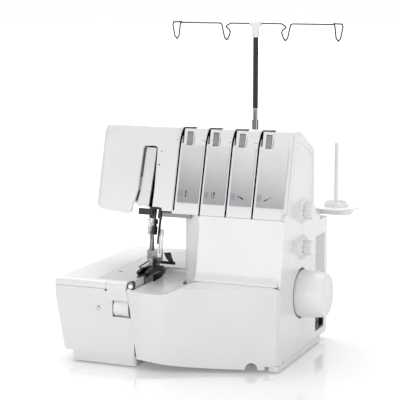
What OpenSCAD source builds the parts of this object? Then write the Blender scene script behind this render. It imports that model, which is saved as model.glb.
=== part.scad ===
// Four-thread overlock machine with its telescopic thread stand.
// Built in machine axes: x = 0 is the right face of the body, y = 0 the front of its base, z = 0 the table.

/* [Body] */
// Width of the body from its right face to the left face of the head
head_w = 260; // [240:1:280]
// Width of the column between the bed and the right face
column_w = 140; // [132:1:145]
// Depth of the lower body
body_d = 200; // [190:1:215]
// Depth of the head at its back face
head_d = 136; // [130:1:139]
// Height of the top of the head
head_top = 294; // [285:1:305]
// Height of the seam under the head
head_seam = 187; // [182:1:192]
// Height of the bed that the fabric runs on
bed_z = 107; // [104:1:110]
// Height of the shelf behind the head that carries the spool tray
shelf_z = 167; // [160:1:170]
// Lean of the head's front, in degrees from upright
head_lean = 15.5; // [13:0.5:17]
// Lean of the column's front, in degrees from upright
column_lean = 11.5; // [9:0.5:13]
// Wall of the moulded covers
wall = 3; // [2.4:0.2:3.6]
// Visible gap between two covers
gap = 0.4; // [0.3:0.1:0.8]
// Edge radius of the head
head_r = 8; // [5:1:10]

/* [Base] */
// Height of the base pan above the table
pan_z = 2; // [1.5:0.5:4]
// Height of the pan's side skirt
skirt_h = 6.6; // [5:0.2:8]
// Height of the pan under the side cover
plinth_h = 12.7; // [11:0.1:15]
// Diameter of a rubber foot
foot_d = 24; // [18:1:30]

/* [Bed and covers] */
// Width of the free bed left of the head's right end
bed_w = 285; // [278:1:296]
// How far the side cover stands in front of the base
bed_front = 43; // [38:1:48]
// Depth of the bed behind the base's front
bed_back = 190; // [182:1:196]
// Distance of the cloth plate's latch from the right face
latch_x = 212.5; // [210:0.5:215]
// Thickness of the cloth plate
cloth_t = 9; // [7:1:11]
// Left end of the metal needle plate
plate_left = 232; // [228:1:240]
// Right end of the metal needle plate, where the fabric is cut
plate_right = 181; // [180:0.5:183]
// Thickness of the needle plate
plate_t = 3; // [2:0.5:4]
// Where the side cover meets the looper cover at the bed
seam_x = 183.5; // [180:0.5:186]
// How far that seam leans to the right for each millimetre down
seam_slope = 0.156; // [0.1:0.01:0.2]
// Height of the looper cover's hinge rod
hinge_z = 22; // [21:0.5:24]
// Distance of the hinge rod in front of the base
hinge_y = 34; // [33:0.5:35]
// Diameter of the hinge rod
hinge_d = 4; // [3:0.5:5]

/* [Needle area] */
// Distance of the needles from the right face
needle_x = 185; // [184:0.5:186]
// Depth of the needles where they enter the bed
needle_y = 24; // [22:1:26]
// Distance between the two needles
needle_gap = 2.5; // [2.3:0.1:3]
// Diameter of the needle bar
needle_bar_d = 6; // [5:0.5:7]
// Stroke of the needle bar
needle_stroke = 27; // [24:1:28]
// Diameter of the presser bar
presser_bar_d = 6; // [5:0.5:7]
// Distance of the presser bar from the right face
presser_x = 195; // [194:0.5:196]
// Depth of the presser bar
presser_y = 58; // [57:0.5:60]
// Lift of the presser foot
presser_lift = 6; // [4:0.5:7]
// Width of the presser foot
foot_w = 16; // [14:1:16]
// Width of the take-up slot
slot_w = 20; // [17:1:22]

/* [Tension] */
// Distance between two tension dials
dial_pitch = 35.3; // [34:0.1:36]
// Distance of the rightmost tension dial from the right face
dial_x = 31; // [30:0.5:32]
// Diameter of a tension dial
dial_d = 36; // [34:1:38]
// Width of a tension dial
dial_w = 6.8; // [6:0.2:8]
// Width of a thread groove
groove_w = 2.2; // [1.8:0.2:2.6]

/* [Controls] */
// Diameter of the hand wheel
wheel_d = 60; // [54:1:64]
// How far the hand wheel stands out
wheel_w = 35; // [28:1:40]
// Depth of the main shaft
shaft_y = 87; // [84:1:90]
// Height of the main shaft
shaft_z = 84; // [80:1:88]
// Diameter of the main shaft
shaft_d = 12; // [10:1:14]
// Diameter of the scale disc of a side knob
scale_d = 33; // [28:1:36]
// Diameter of the grip of a side knob
grip_d = 18.5; // [16:0.5:22]
// How far a side knob stands out
knob_h = 15; // [12:1:18]
// Height of the stitch length knob
length_knob_z = 189; // [186:1:196]
// Height of the differential feed knob
feed_knob_z = 143; // [138:1:147]

/* [Thread stand] */
// Depth of the pole and of the spool pins
stand_y = 180; // [176:1:184]
// Distance of the pole from the right face
pole_x = 98; // [94:1:104]
// Distance of the outer spool pins from the pole
outer_pin = 114; // [108:1:120]
// Distance of the inner spool pins from the pole
inner_pin = 41; // [38:1:44]
// Diameter of a spool pin
pin_d = 5.8; // [5:0.2:7]
// Length of a spool pin above its disc
pin_l = 79; // [70:1:90]
// Diameter of a spool disc
disc_d = 66; // [56:1:68]
// Height of the thread guide wire
guide_z = 421; // [400:1:440]
// Diameter of the guide wire
wire_d = 2; // [1.6:0.2:3]
// Diameter of the lowest pole tube
tube_d = 9; // [8:0.5:11]

/* [Hidden] */
$fn = 48;
run = 0.05; // running clearance of a shaft in its bore
far = 600;
head_foot_y = 22.3;  // front of the head's seam
left_x = -bed_w;
tray_over = 23;      // tray beyond the outer pin

// The box that the whole machine fills, for the origin under its middle
box_x0 = left_x;
box_x1 = -pole_x + outer_pin + disc_d / 2;
box_y0 = -bed_front - 3;
box_y1 = stand_y + disc_d / 2;

skirt_z = pan_z + skirt_h;    // top of the pan's skirt
plinth_z = pan_z + plinth_h;  // top of the pan under the side cover
plinth_x0 = left_x + 23;
pan_front = 20;               // front wall of the pan behind the looper cover
pan_back = body_d - 28;
deck_z = bed_z - cloth_t;     // underside of the cloth plate
plate_seat = bed_z - plate_t; // underside of the needle plate
cover_top = bed_z - 3;        // rim of the looper cover
scoop_z = bed_z - 10;         // floor of the scoop beside the foot
scoop_x = -plate_right + 4.4; // left edge of the scoop
slit_y = 62;                  // back edge of the scoop
block_y = 162;                // back of the raised block before the tray
rear_chamfer = 22;            // height of the chamfered lower back
column_front_x = -112;        // left edge of the flat front of the column
slot_x1 = 180;                // right edge of the take-up slot
tray_z = shelf_z + 7;         // underside of the spool tray
tray_t = 8;                   // thickness of the spool tray
disc_z = tray_z + tray_t;     // seat of the spool discs
needle_tilt = head_lean;      // the needle bar leans with the head
hub_z = guide_z - 16;         // top of the upper tube
split_y = 92;                 // parting of the face cover and the rear housing
groove_x0 = dial_x + 12.5;    // centre of the rightmost groove
face_x = -(groove_x0 + 3 * dial_pitch + 2); // parting of the face cover and the head's front cover
panel_t = 1.2;                // thickness of the silver trim
dial_y = head_y(head_top - 13) + dial_d / 2 - 1.8; // axis of the tension dials
dial_z = head_top - 18.6;

// ---- helpers -------------------------------------------------------------------------------------

module place() translate([-(box_x0 + box_x1) / 2, -(box_y0 + box_y1) / 2, 0]) children();

// A side view (y, z) carried from x0 to x1
module along_x(x0, x1) translate([x0, 0, 0]) rotate([90, 0, 90]) linear_extrude(x1 - x0) children();

// A front view (x, z) carried from y0 to y1
module along_y(y0, y1) translate([0, y1, 0]) rotate([90, 0, 0]) linear_extrude(y1 - y0) children();

// A plan (x, y) carried from z0 to z1
module along_z(z0, z1) translate([0, 0, z0]) linear_extrude(z1 - z0) children();

module box(x0, x1, y0, y1, z0, z1) translate([x0, y0, z0]) cube([x1 - x0, y1 - y0, z1 - z0]);

module rod_x(x0, x1, y, z, d) translate([x0, y, z]) rotate([0, 90, 0]) cylinder(d = d, h = x1 - x0);

module rod_y(y0, y1, x, z, d) translate([x, y1, z]) rotate([90, 0, 0]) cylinder(d = d, h = y1 - y0);

module rod_z(z0, z1, x, y, d) translate([x, y, z0]) cylinder(d = d, h = z1 - z0);

// Rounds the outer corners of a flat outline
module soften(r) offset(r = r, $fn = 24) offset(delta = -r) children();

// Points of a parabola from p to q that leaves both along the lines to c
function bend(p, c, q, n = 10) = [for (i = [0 : n]) let (t = i / n)
    (1 - t) * (1 - t) * p + 2 * t * (1 - t) * c + t * t * q];

function head_y(z) = head_foot_y + (z - head_seam) * tan(head_lean);
function column_y(z) = head_foot_y + (z - head_seam) * tan(column_lean);
function seam_at(z) = -seam_x + (bed_z - cloth_t - z) * seam_slope;

// ---- casing --------------------------------------------------------------------------------------

// Outline of the head seen from the right
module head_side() soften(4) polygon([
    [head_y(head_seam - 8), head_seam - 8], [head_y(head_top), head_top], [head_y(head_top) + 28, head_top - 2.5],
    [head_d - 3.5, head_top - 29], [head_d, head_top - 35], [head_d, head_seam - 8]]);

// Outline of the head seen from the front
module head_front() soften(head_r) polygon([
    [-head_w, head_seam + 8], [-head_w + 9, head_seam - 0.5], [-slot_x1 - slot_w - 8, head_seam - 4.5],
    [-slot_x1 - slot_w - 6, head_seam], [0, head_seam], [0, head_top], [-head_w + 7, head_top],
    [-head_w, head_top - 12]]);

// The head's space, inset by t
module head_space(t = 0) intersection() {
    along_x(-head_w, 0) offset(delta = -t) head_side();
    along_y(-50, far) offset(delta = -t) head_front();
    lean(head_foot_y, head_seam, head_lean) along_z(-60, 200) offset(delta = -t) soften(head_r)
        polygon([[-head_w, -0.02], [0, -0.02], [0, far], [-head_w, far]]);
}

// Puts a shape into the axes of a front that leans back by angle a above the point (y, z)
module lean(y, z, a) translate([0, y, z]) rotate([-a, 0, 0]) children();

module in_head() lean(head_foot_y, head_seam, head_lean) children();

// The band that the head's two front covers take from its top, back to the split
module head_front_region() {
    box(-far, far, -50, split_y, 0, far);
    along_x(-far, far) polygon([[split_y - 1, head_top], [split_y - 1, head_top - 22], [head_d + 1, head_top - 42],
        [head_d + 1, far], [split_y - 1, far]]);
}

module face_cover() color("whitesmoke") place() difference() {
    intersection() {
        head_space();
        union() {
            box(-far, face_x - gap / 2, -50, split_y, 0, far);
            intersection() { head_front_region(); box(-far, face_x - gap / 2, 0, far, 0, far); }
        }
    }
    head_space(wall);
    intersection() {
        union() {
            in_head() box(-head_w + wall, face_x + 1, wall + 1, 40, -30, 12);
            box(-head_w + wall, face_x + 1, 48, head_d - wall, head_seam - 20, head_seam + 10);
        }
        box(-far, 0, 0, head_d - wall, 0, far);
    }
    take_up_slot();
    in_head() box(-slot_x1 - 0.5, -slot_x1 + 14.5, -5, 5, -20, 7);
    in_head() box(-slot_x1 + 14, far, -5, 5, -20, 2.5);
    lamp_places() rod_y(-5, 10, 0, 0, 2.2);
}

// Long slot of the face cover that flares to the left at its foot
module take_up_slot() in_head() along_y(-6, 8) soften(4) polygon([
    [-slot_x1 - slot_w, 85], [-slot_x1, 85], [-slot_x1 + 1.5, 30], [-slot_x1, -40], [-slot_x1 - slot_w - 12, -40],
    [-slot_x1 - slot_w - 8, 0], [-slot_x1 - slot_w - 2, 26]]);

module lamp_places() in_head() {
    translate([-slot_x1 + 6, 0, 78.5]) children();
    translate([-slot_x1 + 4.5, 0, 61]) children();
}

module indicator_lamps() color("orange") place() lamp_places() rod_y(-0.3, 4, 0, 0, 2.1);

module head_front_cover() color("whitesmoke") place() difference() {
    intersection() {
        head_space();
        intersection() {
            box(face_x + gap / 2, far, -50, far, 0, far);
            union() {
                along_x(-far, far) polygon([[-50, head_seam], [column_in(head_seam) + 14, head_seam],
                    [head_y(head_top) + 13, head_top - 13], [split_y, head_top - 22], [head_d + 1, head_top - 42],
                    [head_d + 1, far], [-50, far]]);
            }
        }
    }
    head_space(wall);
    in_head() box(face_x - 1, -wall, wall + 1, 200, -5, 12);
    for (i = [0 : 3]) {
        groove_cut(i);
        dial_window(i);
        dial_recess(i);
    }
}

function column_in(z) = column_y(z) + wall;
function groove_at(i) = -(groove_x0 + i * dial_pitch);
function dial_at(i) = -(dial_x + i * dial_pitch);

// Slot for the thread from the foot of the head over its top edge
module groove_cut(i) translate([groove_at(i), 0, 0]) {
    in_head() along_y(-5, wall + 1) groove_outline(groove_w / 2, i == 3 ? 4 : -1);
    translate([groove_turn - groove_w / 2, head_y(head_top) - 9, head_top - 20]) cube([groove_w, 26, 30]);
}

// A groove that turns to the right under the head's top edge
module groove_outline(half, z0) polygon(concat([[-half, z0], [half, z0]],
    bend([half, 90], [half, 98], [groove_turn + half, 110], 5), bend([groove_turn - half, 110], [-half, 98], [-half, 90], 5)));
groove_turn = 3.2;

module dial_window(i) translate([dial_at(i), dial_y, dial_z]) rotate([0, 90, 0])
    cylinder(d = dial_d + 2, h = dial_w + 1, center = true);

// Shallow recess from a groove to just right of its dial that wraps over the head's top edge
module dial_recess(i) difference() {
    box(groove_at(i), dial_at(i) + 6.7, -50, head_y(head_top) + 5, head_top - 21, far);
    head_space(0.5);
}

module thread_groove_liners() color("black") place() intersection() {
    head_space(wall + 0.05);
    union() {
        for (i = [0 : 3]) translate([groove_at(i), 0, 0]) {
            in_head() along_y(0, wall + 2) groove_outline(groove_w / 2 + 1.2, 4);
            translate([groove_turn - groove_w / 2 - 1.2, head_y(head_top) - 9, head_top - wall - 3]) cube([groove_w + 2.4, 24, 6]);
        }
        in_head() box(-199, -slot_x1 + 3, 17.6, 18.3, 8, 120);
    }
}

module silver_trim_plates() color("silver") place() for (i = [0 : 3]) in_head() along_y(-panel_t, 0) soften(1.5) polygon([
    [groove_at(i) + 3.8, 14.5], [groove_at(i) + trim_w(i), 14.5], [groove_at(i) + trim_w(i), 88], [groove_at(i) + 3.8, 88]]);
function trim_w(i) = i == 0 ? -groove_at(0) - 4 : dial_pitch - 3;

module rear_housing() color("whitesmoke") place() difference() {
    union() {
        difference() {
            intersection() {
                head_space();
                union() {
                    box(-far, face_x + gap / 2, split_y + gap, far, 0, far);
                    along_x(face_x + gap / 2, far) polygon([[column_in(head_seam) + 14.3, head_seam - 1],
                        [head_y(head_top) + 13.3, head_top - 13.5], [split_y, head_top - 22], [head_d + 1, head_top - 42],
                        [head_d + 1, head_seam - 1]]);
                }
            }
            head_space(wall);
            head_front_gap();
        }
        difference() {
            column_space();
            column_space(wall);
        }
    }
    intersection() {
        box(-column_w, 0, 30, head_d - wall + 0.5, head_seam - 10, head_seam + 10);
        along_z(0, far) column_plan(wall);
    }
    box(-column_w + wall, -wall, 24, body_d - 12, 0, skirt_z + gap + wall + 1);
    box(-column_w - 1, -column_w + wall + 1, 46, 166, 0, bed_z - 8);
    box(arm_x1 - 0.5, arm_x1 + 6.5, 0, 24, 0, hinge_z + 6.5);
    box(lifter_x - 3, lifter_x + 11, 94, 140, head_seam - 10, head_seam + 15);
    column_front_cut();
    cover_arc();
    for (z = [length_knob_z, feed_knob_z]) rod_x(-20, 20, knob_y, z, 7);
    rod_x(-20, 20, shaft_y, shaft_z, shaft_d + 1.5);
    rod_x(-1.5, 20, shaft_y, shaft_z, wheel_d + 3.2);
    inlet_place() box(-10, 5, 0, inlet_w, 0, inlet_h);
}
knob_y = 88;
inlet_w = 36;
inlet_h = 21;
module inlet_place() translate([0, body_d - 52, 11 + pan_z + 6]) children();

// Clears the head part of the rear housing from the front covers by the visible gap
module head_front_gap() {
    along_x(-far, face_x + gap / 2) polygon([[split_y - 1, head_top], [split_y - 1, head_top - 22 - gap],
        [head_d + 1, head_top - 42 - gap], [head_d + 1, far], [split_y - 1, far]]);
    along_x(face_x + gap / 2 - 0.1, far) polygon([[split_y - 60, head_top - 22 + 23], [split_y, head_top - 22 - gap],
        [head_d + 1, head_top - 42 - gap], [head_d + 1, far], [split_y - 60, far]]);
}

// The column and the lower back, inset by t
module column_space(t = 0) intersection() {
    along_x(-far, 0) offset(delta = -t) soften(3) polygon([
        [18.5, skirt_z + gap], for (a = [nose_a0 : (nose_a1 - nose_a0) / 6 : nose_a1 + 0.01]) about_hinge(cheek_r + gap, a),
        [column_y(bed_z), bed_z], [column_y(head_seam), head_seam],
        [head_d, head_seam], [head_d, shelf_z + 15], [block_y, shelf_z + 14.4], [block_y, shelf_z], [body_d, shelf_z],
        [body_d, rear_chamfer], [body_d - 7, skirt_z + gap]]);
    along_z(0, far) column_plan(t);
}

// Plan of the column, inset by t
module column_plan(t = 0) offset(delta = -t) soften(5) polygon([
    [0, 0], [0, body_d], [-column_w, body_d], [-column_w, 40], [-column_w + 5, 34.5], [column_front_x, 20],
    [column_front_x, 0]]);

// Point of a circle about the looper cover's hinge, seen from the right
function about_hinge(r, a) = [-hinge_y + r * cos(a), hinge_z + r * sin(a)];
cheek_r = norm([18.5 + hinge_y, cover_top - 7.8 - hinge_z]);  // reach of the looper cover's right cheek
nose_a0 = acos((18.5 + hinge_y) / (cheek_r + gap));           // the column's nose follows that reach
nose_a1 = asin((cover_top + 0.4 - hinge_z) / (cheek_r + gap));

// Room for the front panel of the column
module column_front_cut() {
    along_x(column_front_x, -wall) polygon([[-20, bed_z - 1], [column_y(bed_z - 1) + wall, bed_z - 1],
        [column_y(head_seam) + wall, head_seam], [-20, head_seam]]);
}

// Sweep of the looper cover's right cheek about its hinge
module cover_arc() intersection() {
    box(-far, 1, 0, 40, 0, cover_top - 1);
    rod_x(-far, 1, -hinge_y, hinge_z, 2 * (hinge_y + 18.5 + gap / 2));
}

module column_panel() color("whitesmoke") place() intersection() {
    union() {
        along_x(column_front_x, -wall) polygon(concat([[column_y(bed_z + 1) + wall, bed_z + 1],
            [column_y(head_seam - gap) + wall, head_seam - gap], [column_y(head_seam - gap), head_seam - gap]],
            bend([column_y(bed_z + 15), bed_z + 15], [column_y(bed_z + 1), bed_z + 1], [column_y(bed_z) - 7, bed_z + 1], 6)));
    }
    box(column_front_x, -wall, -20, 60, bed_z, head_seam);
}

// ---- base ----------------------------------------------------------------------------------------

module base_pan() color("gainsboro") place() difference() {
    union() {
        along_z(pan_z, plinth_z) soften(5) polygon([[plinth_x0, -bed_front + 1.5], [seam_at(plinth_z) - 2, -bed_front + 1.5],
            [seam_at(plinth_z) - 2, pan_back], [plinth_x0, pan_back]]);
        along_z(pan_z, skirt_z) soften(4) polygon([[-200, pan_front], [-14, pan_front], [-14, 0.5],
            [0, 0.5], [0, pan_back], [-200, pan_back]]);
        for (x = [arm_x0, arm_x1]) hinge_arm(x);
    }
    difference() {
        union() {
            box(plinth_x0 + wall, seam_at(plinth_z) - 2 - wall, -bed_front + 1.5 + wall, pan_back - wall, pan_z + 3, far);
            box(-200, -wall, pan_front + wall, pan_back - wall, pan_z + 3, far);
        }
        for (x = [arm_x0, arm_x1]) hinge_arm(x);
        feet_at() rod_z(pan_z, pan_z + 5, 0, 0, 14);
    }
    rod_x(arm_x0 - 1, arm_x1 + 7, -hinge_y, hinge_z, hinge_d);
    feet_at() rod_z(-1, pan_z + 3.5, 0, 0, 8);
}
arm_x0 = -168;
arm_x1 = -136;

// Arm of the pan that carries the looper cover's hinge rod
module hinge_arm(x) {
    rod_x(x, x + 6, -hinge_y, hinge_z, 9);
    box(x, x + 6, -hinge_y, pan_front + wall, hinge_z - 4.5, hinge_z + 4.5);
    box(x, x + 6, pan_front, pan_front + wall, pan_z, hinge_z + 4.5);
}

module feet_at() for (p = [[plinth_x0 + 20, -bed_front + 22], [plinth_x0 + 20, pan_back - 22], [-22, pan_back - 22],
    [-24, pan_front + 22], [-120, pan_front + 22]]) translate([p[0], p[1], 0]) children();

module rubber_feet() color("dimgray") place() feet_at() {
    rod_z(0, pan_z, 0, 0, foot_d);
    rod_z(pan_z - 0.5, pan_z + 3.5, 0, 0, 8);
}

module cover_hinge_rod() color("silver") place() rod_x(arm_x0, arm_x1 + 6, -hinge_y, hinge_z, hinge_d);

// Plan of the left unit, inset by t
module left_plan(t = 0, right = 0) soften(4) polygon(concat(
    [[left_x + t, -bed_front + t], [right, -bed_front + t], [right, bed_back - t]],
    bend([left_x + 30, bed_back - t], [left_x + 4 + t, bed_back - t], [left_x + 3 + t, bed_back - 34], 8)));

module side_cover() color("whitesmoke") place() {
    side_shell();
    dial_port() difference() {
        box(-11, -4, wall - 0.5, dial_sink + 7, 3, port_h - 3);
        rod_x(-20, 0, dial_sink, port_h / 2, 6 + 2 * run);
    }
    front_block();
    rod_z(deck_z - 30, deck_z + cloth_t - 4, cloth_pivot[0], cloth_pivot[1], 6);
    difference() {
        rod_z(plinth_z + gap, deck_z - gap, cloth_pivot[0], cloth_pivot[1], 14);
        box(-far, far, -far, far, 0, deck_z - 24);
    }
}

module side_shell() difference() {
    intersection() {
        along_z(plinth_z + gap, deck_z - gap) left_plan(0, 0);
        along_y(-60, far) soften(4) polygon([[left_x + 14, plinth_z + gap], [seam_at(plinth_z + gap) - gap / 2, plinth_z + gap],
            [seam_at(deck_z + 8) - gap / 2, deck_z + 8], [left_x, deck_z + 8], [left_x, deck_z - 4]]);
        box(-far, -seam_x + 9.5, -60, far, 0, far);
    }
    intersection() {
        along_z(0, deck_z - wall - gap) left_plan(wall, 0);
        along_y(-60, far) polygon([[left_x + 14 + wall, 0], [0, 0], [0, far], [left_x + wall, far],
            [left_x + wall, deck_z - 4]]);
    }
    box(-needle_hole_x0, 0, -bed_front + wall, far, deck_z - 20, far);
    box(-plate_left, 0, -bed_front + 30, far, plinth_z, far);
    box(-214.2, -210.8, -50, -bed_front + 2.2, deck_z - 2.6, far);
    dial_port() box(0, 40, -20, 20, 0, port_h);
}
needle_hole_x0 = 236;
port_h = 21;     // height of the port for the cutting width dial
port_dial_d = 28;
dial_sink = 15;  // depth of that dial's axis
module dial_port() translate([-204, -bed_front, deck_z - 35]) children();

// Rounds the front and left top edges of the bed
module bed_edges() {
    along_x(-far, 0) soften(7) polygon([[-bed_front, deck_z - 20], [-bed_front, bed_z], [far, bed_z], [far, deck_z - 20]]);
}

// Front of the side cover between the cloth plate and the looper cover
module front_block() difference() {
    intersection() {
        along_z(deck_z - 8, bed_z) left_plan(0, 0);
        box(-latch_x, seam_at(bed_z) - gap, -60, -bed_front + 15, 0, far);
        bed_edges();
    }
    box(-214.2, -210.8, -50, -bed_front + 2.2, deck_z - 2.6, deck_z - 0.4);
}

module cutting_width_dial() color("white") place() dial_port() difference() {
    union() {
        rod_x(1, 21.3, dial_sink, port_h / 2, port_dial_d);
        rod_x(-12, 2, dial_sink, port_h / 2, 6);
    }
    for (a = [0 : 12 : 348]) translate([0, dial_sink, port_h / 2]) rotate([a, 0, 0])
        translate([0, port_dial_d / 2 + 0.3, 0]) rod_x(12, 22, 0, 0, 1.6);
}

module bed_cover() color("white") place() difference() {
    intersection() {
        along_z(plinth_z, bed_z) left_plan(0, -column_w + 0.4);
        box(-plate_left + gap, -column_w - gap, slit_y + 7, far, plinth_z, bed_z);
    }
    box(-far, far, 0, bed_back - wall, 0, plate_seat);
    box(-far, -200 + gap, 0, 90 + gap, 0, far);
}

// ---- bed -----------------------------------------------------------------------------------------

cloth_pivot = [-plate_left - 9, bed_back - 9];
module cloth_outline() intersection() {
    left_plan(0, 0);
    union() {
        difference() {
            translate([-far, -100]) square([far - plate_left - gap, 100 + bed_back]);
            translate([cloth_pivot[0], cloth_pivot[1]]) square([20, 20]);
        }
        translate(cloth_pivot) circle(r = 9 - gap);
        translate([-far, -100]) square([far - latch_x - gap, 100 - bed_front + 15]);
    }
}

module cloth_plate() color("white") place() difference() {
    intersection() {
        along_z(deck_z, bed_z) cloth_outline();
        bed_edges();
        along_y(-far, far) soften(6) polygon([[left_x, deck_z - 20], [left_x, bed_z], [0, bed_z], [0, deck_z - 20]]);
    }
    rod_z(deck_z - 1, bed_z - 3, cloth_pivot[0], cloth_pivot[1], 6 + 2 * run);
}

module cloth_plate_latch() color("dimgray") place() box(-214, -211, -bed_front - 0.2, -bed_front + 2, deck_z - 2.4, deck_z - 0.6);

// Plan of the needle plate
module plate_plan() polygon([[-plate_left, -bed_front + 15.5], [-seam_x - 1, -bed_front + 15.5], [-plate_right, -bed_front + 21],
    [-plate_right, slit_y], [-200, slit_y], [-200, 90], [-plate_left, 90]]);

module needle_plate() color("silver") place() difference() {
    along_z(plate_seat, bed_z) plate_plan();
    for (r = feed_rows) box(r[0] - 0.4, r[0] + feed_w + 0.4, needle_y + r[1] - 4.5, needle_y + 20, 0, far);
    box(-needle_x - 3, -needle_x + 2.6, needle_y - 2.5, needle_y + 2.5, 0, far);
    for (p = plate_screws) translate(p) rod_z(plate_seat - 1, far, 0, 0, 3.6);
    for (p = plate_screws) translate(p) rod_z(bed_z - 1.5, far, 0, 0, 6.4);
}
plate_screws = [[-222, 20], [-208, 80]];
feed_w = 2;
feed_rows = [[-needle_x - 12, -7], [-needle_x - 8.6, -7], [-needle_x - 1, 8.5]]; // left edge and front end of each row

module needle_plate_screws() color("silver") place() for (p = plate_screws) translate(p) difference() {
    union() {
        rod_z(bed_z - 1.5, bed_z - 0.1, 0, 0, 6);
        rod_z(plate_seat - 3, bed_z - 1.5, 0, 0, 3.5);
    }
    box(-4, 4, -0.5, 0.5, bed_z - 0.8, far);
}

module feed_dog() color("silver") place() {
    for (r = feed_rows) difference() {
        box(r[0], r[0] + feed_w, needle_y + r[1], needle_y + 15, plate_seat - 4, bed_z - 0.6);
        for (y = [15 - 1.4 : -2.2 : r[1] + 0.6]) translate([r[0] - 1, needle_y + y, bed_z - 0.6]) rotate([45, 0, 0])
            cube([feed_w + 2, 1, 1], center = false);
    }
    box(feed_rows[0][0], feed_rows[2][0] + feed_w, needle_y + 3, needle_y + 15, plate_seat - 10, plate_seat - 3.5);
}

// ---- looper cover --------------------------------------------------------------------------------

// Plan of the looper cover's space, inset by t
module cover_plan(t = 0) offset(delta = -t) soften(7) polygon(concat(
    [[-230, -bed_front]], bend([-182, -bed_front - 0.5], [-168, -bed_front - 3], [-150, -bed_front - 3], 4),
    bend([-145, -bed_front - 3], [-125, -bed_front - 1], [-100, -34], 6), [[-4, -1], [0, 6], [0, 60], [-230, 60]]));

// Front view of the looper cover, inset by t
module cover_front(t = 0) polygon(concat(
    [[seam_at(12) + gap / 2 + t, 12.5]], bend([-150, 11], [-100, skirt_z - 4], [-16, skirt_z - 4], 8), [[-16, skirt_z + gap],
    [10, skirt_z + gap], [10, bed_z + 2 - t]],
    bend([-96, bed_z + 2 - t], [-112, bed_z - t], [-122, scoop_z + 5 - t], 6),
    bend([-123, scoop_z + 4.4 - t], [-130, scoop_z - t], [-143, scoop_z - t], 5),
    [[-171, scoop_z - t], [seam_at(deck_z) + gap / 2 + t, deck_z + 2 - t]]));

// Side view of the looper cover's top, inset by t
module cover_side(t = 0) polygon([[-80, -20], [-80, cover_top - t], [-30, cover_top - t],
    [column_y(bed_z) - 7.5, bed_z + 0.8 - t], [30, bed_z + 0.8 - t], [30, -20]]);

module looper_cover() color("white") place() {
    difference() {
        intersection() {
            along_z(0, far) cover_plan();
            along_y(-80, 18.5 - gap / 2) cover_front();
            along_x(-far, 10) cover_side();
            cover_reach();
        }
        intersection() {
            along_z(-10, far) cover_plan(wall);
            along_y(-80, 100) translate([0, -0.01]) cover_inner();
            along_x(-far, 10) cover_side(wall);
        }
        box(-far, scoop_x - gap, -bed_front + wall, 100, 80, far);
        rod_y(-80, 30, -31, skirt_z - 3, 15);
    }
    scoop();
    for (x = [arm_x0 + 6.5, arm_x1 - 5.5]) lug(x);
}
module cover_inner() polygon([[-300, -20], [-300, scoop_z - wall], [-104, scoop_z - wall], [-104, far],
    [-wall, far], [-wall, -20]]);

// Keeps the cover's right cheek within its circle about the hinge
module cover_reach() union() {
    box(-far, 20, -80, column_y(bed_z) - 7.5, -10, far);
    box(-far, column_front_x - 8, -80, 60, hinge_z - 1, far);
    intersection() {
        rod_x(-far, 10, -hinge_y, hinge_z, 2 * (hinge_y + 18.5 - gap / 2));
        box(-far, 10, -80, 60, -10, hinge_z);
    }
    intersection() {
        rod_x(-far, 10, -hinge_y, hinge_z, 2 * cheek_r, $fn = 180);
        box(-far, 10, -80, 60, hinge_z - 1, far);
    }
}

// Concave chute beside the presser foot
module scoop() difference() {
    along_x(scoop_x, -122 + 0.5) polygon(concat([[-36, scoop_z - wall], [-36, scoop_z]],
        bend([slit_y - 40, scoop_z], [slit_y - 2, scoop_z], [slit_y, bed_z], 8),
        bend([slit_y, bed_z - wall], [slit_y - 2, scoop_z - wall], [slit_y - 40, scoop_z - wall], 8)));
    along_z(0, far) offset(delta = gap) polygon([[column_front_x, 5], [-column_w + 5, 23], [-column_w, 30], [-column_w, 300], [0, 300], [0, 5]]);
}

module lug(x) difference() {
    union() {
        rod_x(x, x + 5, -hinge_y, hinge_z, 9);
        intersection() {
            box(x, x + 5, -60, -hinge_y, hinge_z - 4.5, hinge_z + 4.5);
            along_z(0, far) cover_plan(wall - 0.5);
        }
    }
    rod_x(x - 1, x + 9, -hinge_y, hinge_z, hinge_d + 2 * run);
}

// ---- machine frame -------------------------------------------------------------------------------

bearing_x = [-24, -122, -226]; // left faces of the three bearing walls
wall_t = 9;
bush_d = shaft_d + 4;

// Puts a shape into the axes of the needle bar, with its foot where the needles enter the bed
module on_needle() translate([-needle_x, 0, 0]) lean(needle_y, bed_z, head_lean) children();

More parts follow.
